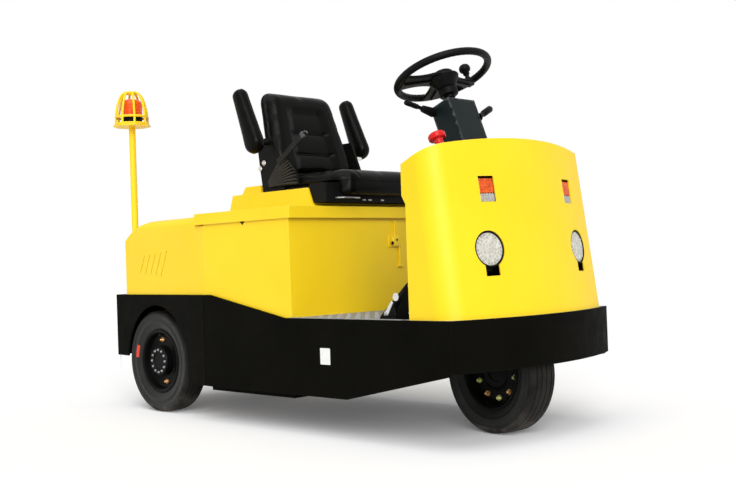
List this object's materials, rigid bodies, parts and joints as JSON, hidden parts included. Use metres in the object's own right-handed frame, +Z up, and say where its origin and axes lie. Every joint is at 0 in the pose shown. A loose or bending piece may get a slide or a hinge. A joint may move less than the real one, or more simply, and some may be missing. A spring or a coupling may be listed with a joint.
{
  "type": "airport tow tractor",
  "caption": "Three-wheel electric tow tractor with a leaning front cowl, battery lid carrying the seat, open footwell, caged beacon on a pole and a rear tow jaw.",
  "frame": {"origin": "on the ground below the middle of the overall length and width", "axes": "+X forward, +Y to the driver's left, +Z up"},
  "size_m": [2.14, 0.844, 1.339],
  "materials": {
    "yellow_paint": "gloss enamel",
    "black_paint": "satin enamel",
    "steel": "zinc plated",
    "battery_case": "matte",
    "cast_black": "painted casting",
    "tyre_rubber": "matte",
    "chequer_plate": "raised tread pattern",
    "black_plastic": "fine grain",
    "column_grey": "matte",
    "lamp_white": "clear lens",
    "lamp_amber": "lens",
    "lamp_orange": "lens",
    "lamp_red": "lens",
    "red_plastic": "moulded",
    "seat_vinyl": "smooth black vinyl"
  },
  "bodies": {
    "chassis": {"chassis_frame": "black_paint", "skirt_right": "black_paint", "skirt_left": "black_paint", "front_bumper": "black_paint", "fender_right": "black_paint", "fender_left": "black_paint", "rear_plate": "black_paint", "tow_jaw": "black_paint", "rear_hood": "yellow_paint", "lid_hinge": "steel", "battery_box": "yellow_paint", "lid_latch": "yellow_paint", "battery": "battery_case", "drive_axle": "cast_black", "drive_motor": "cast_black", "floor_plate": "chequer_plate", "steer_drum": "black_paint", "cowl": "yellow_paint", "dash_panel": "black_plastic", "headlamp_right": "lamp_white", "headlamp_left": "lamp_white", "marker_right": "lamp_amber", "marker_left": "lamp_amber", "steering_column": "column_grey", "column_levers": "black_plastic", "stop_button": "red_plastic", "brake_pedal": "black_paint", "drive_pedal": "black_paint", "beacon_pole": "yellow_paint", "beacon_cage": "yellow_paint", "beacon_base": "black_plastic", "beacon_lamp": "lamp_orange", "tail_lamps": "lamp_red"},
    "rear_wheel_right": {"rear_rim_right": "black_paint", "rear_tyre_right": "tyre_rubber"},
    "rear_wheel_left": {"rear_rim_left": "black_paint", "rear_tyre_left": "tyre_rubber"},
    "fork": {"fork": "black_paint"},
    "front_wheel": {"front_rim": "black_paint", "front_tyre": "tyre_rubber"},
    "steering_wheel": {"steering_wheel": "black_plastic"},
    "lid": {"battery_lid": "yellow_paint", "seat_base": "black_plastic", "seat_cushion": "seat_vinyl", "seat_back": "seat_vinyl", "belt_buckle": "black_plastic"},
    "armrest_right": {"armrest_right": "seat_vinyl"},
    "armrest_left": {"armrest_left": "seat_vinyl"}
  },
  "joints": [
    {"name": "rear_wheel_right_spin", "type": "hinge", "parent": "chassis", "child": "rear_wheel_right", "pos_m": [-0.65, -0.313, 0.2075], "axis": [0, 1, 0], "continuous": true},
    {"name": "rear_wheel_left_spin", "type": "hinge", "parent": "chassis", "child": "rear_wheel_left", "pos_m": [-0.65, 0.313, 0.2075], "axis": [0, 1, 0], "continuous": true},
    {"name": "fork_steer", "type": "hinge", "parent": "chassis", "child": "fork", "pos_m": [0.832, 0, 0.45], "axis": [0, 0, 1], "range_deg": [-66.53, 83.47]},
    {"name": "front_wheel_spin", "type": "hinge", "parent": "fork", "child": "front_wheel", "pos_m": [0.832, 0, 0.2075], "axis": [0.1473, 0.9891, 0], "continuous": true},
    {"name": "steering_wheel_turn", "type": "hinge", "parent": "chassis", "child": "steering_wheel", "pos_m": [0.628, 0, 1.227], "axis": [-0.3535, 0, 0.9354], "range_deg": [-401, 502]},
    {"name": "lid_hinge_turn", "type": "hinge", "parent": "chassis", "child": "lid", "pos_m": [-0.295, 0, 0.779], "axis": [0, -1, 0], "range_deg": [0, 60]},
    {"name": "armrest_right_fold", "type": "hinge", "parent": "lid", "child": "armrest_right", "pos_m": [-0.081, -0.28, 1.052], "axis": [0, 1, 0], "range_deg": [0, 100]},
    {"name": "armrest_left_fold", "type": "hinge", "parent": "lid", "child": "armrest_left", "pos_m": [-0.081, 0.28, 1.052], "axis": [0, 1, 0], "range_deg": [0, 100]}
  ],
  "couplings": [
    {"joint": "steering_wheel_turn", "follows": "fork_steer", "ratio": 6}
  ]
}
